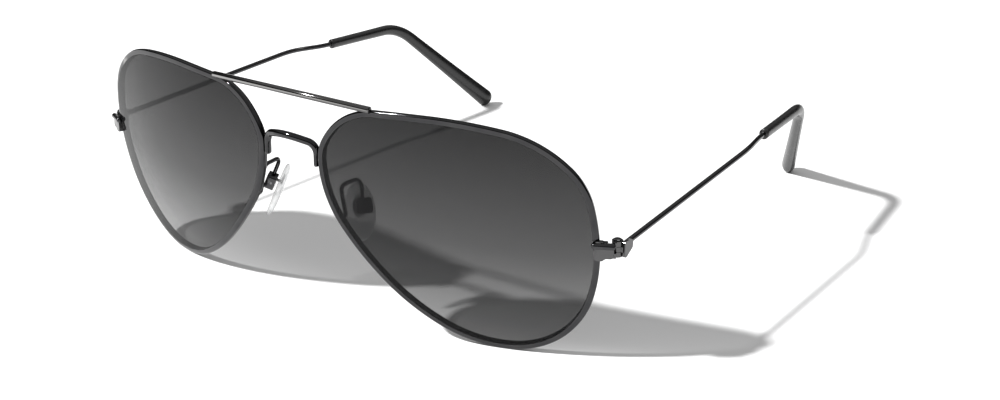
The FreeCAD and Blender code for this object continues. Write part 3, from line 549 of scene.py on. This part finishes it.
def moulded_black():
    """Glossy moulded plastic with slight orange peel and fine handling marks."""
    plastic = bpy.data.materials.new("black_moulded_plastic")
    plastic.use_nodes = True
    nodes, links = plastic.node_tree.nodes, plastic.node_tree.links
    shader = nodes["Principled BSDF"]
    shader.inputs["IOR"].default_value = 1.49
    shader.inputs["Coat Weight"].default_value = 0.15
    shader.inputs["Coat Roughness"].default_value = 0.12
    place = nodes.new("ShaderNodeTexCoord")
    peel = nodes.new("ShaderNodeTexNoise")
    peel.inputs["Scale"].default_value = 420.0
    peel.inputs["Detail"].default_value = 4.0
    links.new(place.outputs["Object"], peel.inputs["Vector"])
    colour = nodes.new("ShaderNodeValToRGB")
    colour.color_ramp.elements[0].color = (0.003, 0.003, 0.0033, 1)
    colour.color_ramp.elements[1].color = (0.009, 0.009, 0.0094, 1)
    links.new(peel.outputs["Fac"], colour.inputs["Fac"])
    links.new(colour.outputs["Color"], shader.inputs["Base Color"])
    marks = nodes.new("ShaderNodeMapRange")
    marks.inputs["To Min"].default_value = 0.2
    marks.inputs["To Max"].default_value = 0.4
    links.new(peel.outputs["Fac"], marks.inputs["Value"])
    links.new(marks.outputs["Result"], shader.inputs["Roughness"])
    bump = nodes.new("ShaderNodeBump")
    bump.inputs["Strength"].default_value = 0.12
    bump.inputs["Distance"].default_value = 0.00004
    links.new(peel.outputs["Fac"], bump.inputs["Height"])
    links.new(bump.outputs["Normal"], shader.inputs["Normal"])
    return plastic


sleeve_material = moulded_black()
for side_name, side in BOTH_SIDES:
    sleeve = bmesh.new()
    second, knee, tip = (Vector(corner) for corner in TEMPLE_CORNERS[2:])
    sleeve_start = second + (knee - second).normalized() * SLEEVE_START
    stations = route_stations([sleeve_start, knee, tip], [EAR_BEND], SLEEVE_STEP)
    grown = []
    for index, station in enumerate(stations):
        reached = index / (len(stations) - 1)
        wide = START_WIDE + (END_WIDE - START_WIDE) * reached ** 2
        thin = START_THIN + (END_THIN - START_THIN) * reached ** 2
        grown.append(station @ Matrix.Diagonal((wide, thin, 1, 1)))
    eased_start = grown[0] @ Matrix.Diagonal((MOUTH_SHRINK, MOUTH_SHRINK, 1, 1))
    grown[0] = grown[0] @ Matrix.Translation((0, 0, MOUTH_EASE))
    for index in range(1, DOME_STEPS + 1):
        swing = math.radians(DOME_SWING) * index / DOME_STEPS
        grown.append(stations[-1] @ Matrix.Translation((0, 0, TIP_DOME * math.sin(swing)))
                     @ Matrix.Diagonal((END_WIDE * math.cos(swing), END_THIN * math.cos(swing), 1, 1)))
    sweep(sleeve, round_section(1, 1, 36), [eased_start] + grown)
    finish_piece(sleeve, "ear_sleeve_" + side_name, "temple_" + side_name, sleeve_material,
                 ["temple_tip_" + side_name], side, crease=60)

# ---- Pad arms ----
# Thin goose-neck wires, soldered behind the rims and hooked over to the pad boxes.
ARM_CORNERS = [(11.713, -71.526, 24.534), (11.677, -70.437, 24.679), (10.419, -70.437, 31.129),
               (11.019, -64.414, 31.129), (12.275, -65.559, 27.029)]
ARM_RADIUS, ARM_BEND, ARM_STEP = 0.45, 1.5, 0.25
for side_name, side in BOTH_SIDES:
    arm = bmesh.new()
    arm_stations = route_stations(ARM_CORNERS, [ARM_BEND] * 3, ARM_STEP, Vector((1, 0, 0)))
    sweep(arm, round_section(2 * ARM_RADIUS, 2 * ARM_RADIUS, 20), arm_stations)
    finish_piece(arm, "goose_neck_" + side_name, "front", rim_metal,
                 ["pad_arm_" + side_name], side)

# ---- Nose pads ----
# Clear ovals moulded round a metal core, crowned on the side that meets the nose.
PAD_LENGTH, PAD_WIDTH, PAD_THICKNESS = 12.5, 7.0, 1.4
PAD_MIDDLE = Vector((11.7, -65.478, 23.961))
PAD_AXES = ((0.525, 0.8477, -0.076), (-0.283, 0.258, 0.9238), (0.8027, -0.4634, 0.3753))
pad_turn = Matrix([Vector(axis) for axis in PAD_AXES]).transposed().to_4x4()
pad_turn.translation = PAD_MIDDLE


def clear_plastic():
    """Clear soft plastic, faintly cloudy, with a fine satin surface."""
    plastic = bpy.data.materials.new("clear_pad_plastic")
    plastic.use_nodes = True
    nodes, links = plastic.node_tree.nodes, plastic.node_tree.links
    shader = nodes["Principled BSDF"]
    shader.inputs["IOR"].default_value = 1.45
    place = nodes.new("ShaderNodeTexCoord")
    cloud = nodes.new("ShaderNodeTexNoise")
    cloud.inputs["Scale"].default_value = 380.0
    cloud.inputs["Detail"].default_value = 4.0
    links.new(place.outputs["Object"], cloud.inputs["Vector"])
    colour = nodes.new("ShaderNodeValToRGB")
    colour.color_ramp.elements[0].color = (0.72, 0.73, 0.73, 1)
    colour.color_ramp.elements[1].color = (0.86, 0.87, 0.87, 1)
    links.new(cloud.outputs["Fac"], colour.inputs["Fac"])
    links.new(colour.outputs["Color"], shader.inputs["Base Color"])
    satin = nodes.new("ShaderNodeMapRange")
    satin.inputs["To Min"].default_value = 0.14
    satin.inputs["To Max"].default_value = 0.3
    links.new(cloud.outputs["Fac"], satin.inputs["Value"])
    links.new(satin.outputs["Result"], shader.inputs["Roughness"])
    edge = nodes.new("ShaderNodeLayerWeight")
    edge.inputs["Blend"].default_value = 0.35
    body = nodes.new("ShaderNodeMapRange")
    body.inputs["To Min"].default_value = 0.34
    body.inputs["To Max"].default_value = 0.7
    links.new(edge.outputs["Facing"], body.inputs["Value"])
    links.new(body.outputs["Result"], shader.inputs["Alpha"])
    return plastic


pad_material = clear_plastic()
for side_name, side in BOTH_SIDES:
    pad = bmesh.new()
    layers = [(-PAD_THICKNESS, 0.35), (-0.96 * PAD_THICKNESS, 0.62), (-0.86 * PAD_THICKNESS, 0.80),
              (-0.68 * PAD_THICKNESS, 0.93), (-0.45 * PAD_THICKNESS, 1.0), (-0.22 * PAD_THICKNESS, 0.99),
              (-0.08 * PAD_THICKNESS, 0.95), (0.0, 0.88)]
    sweep(pad, round_section(1, 1, 48), [
        pad_turn @ Matrix.Translation((0, 0, depth))
        @ Matrix.Diagonal((PAD_WIDTH * scale, PAD_LENGTH * scale, 1, 1)) for depth, scale in layers])
    finish_piece(pad, "clear_pad_" + side_name, "pad_" + side_name, pad_material,
                 ["nose_pad_" + side_name], side, crease=50)

# ---- Endpieces, hinges, clamping blocks and pad boxes ----
# Small cast and milled pieces soldered to the rims and wires, with softened edges.
# The last number sets the strength of the painted edge highlight.
fitting_metal = gunmetal("cast_gunmetal", 0.06, 0.16, 0.12)
FITTINGS = {"endpiece": "front", "closing_block_upper": "front", "closing_block_lower": "front",
            "pad_box": "front", "temple_hinge": "temple_"}
BROKEN_EDGE = 0.06


def softened(node, name, body, material):
    """A merged copy of a small fitting, with its sharp edges broken."""
    shape = bmesh.new()
    shape.from_mesh(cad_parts[node].data)
    bmesh.ops.remove_doubles(shape, verts=shape.verts, dist=1e-7)
    bmesh.ops.dissolve_limit(shape, angle_limit=math.radians(1), verts=shape.verts, edges=shape.edges)
    mesh = bpy.data.meshes.new(name)
    shape.to_mesh(mesh)
    shape.free()
    mesh.materials.clear()
    mesh.materials.append(material)
    mesh.shade_smooth()
    mesh.set_sharp_from_angle(angle=math.radians(30))
    piece = bpy.data.objects.new(name, mesh)
    bpy.context.scene.collection.objects.link(piece)
    edges = piece.modifiers.new("broken_edges", "BEVEL")
    edges.width = BROKEN_EDGE * MM
    edges.segments = 2
    edges.limit_method = "ANGLE"
    edges.angle_limit = math.radians(35)
    edges.use_clamp_overlap = True
    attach(piece, body)
    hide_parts(node)


for side_name, _ in BOTH_SIDES:
    for fitting, body in FITTINGS.items():
        on_body = body + side_name if body.endswith("_") else body
        softened(fitting + "_" + side_name, fitting + "_metal_" + side_name, on_body,
                 fitting_metal)

# ---- Screws and pad cores ----
# Turned steel screws and the pressed cores that hold the pads, left as the small parts they are.
# The last numbers set the strength of the painted edge highlight.
screw_steel = gunmetal("turned_steel", 0.14, 0.2, 0.1)
core_metal = gunmetal("pressed_bright_metal", 0.5, 0.25, 0.3)
for side_name, _ in BOTH_SIDES:
    for node in ("closing_screw", "hinge_screw", "pad_screw"):
        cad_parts[node + "_" + side_name].data.materials.clear()
        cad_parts[node + "_" + side_name].data.materials.append(screw_steel)
    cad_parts["pad_insert_" + side_name].data.materials.clear()
    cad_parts["pad_insert_" + side_name].data.materials.append(core_metal)
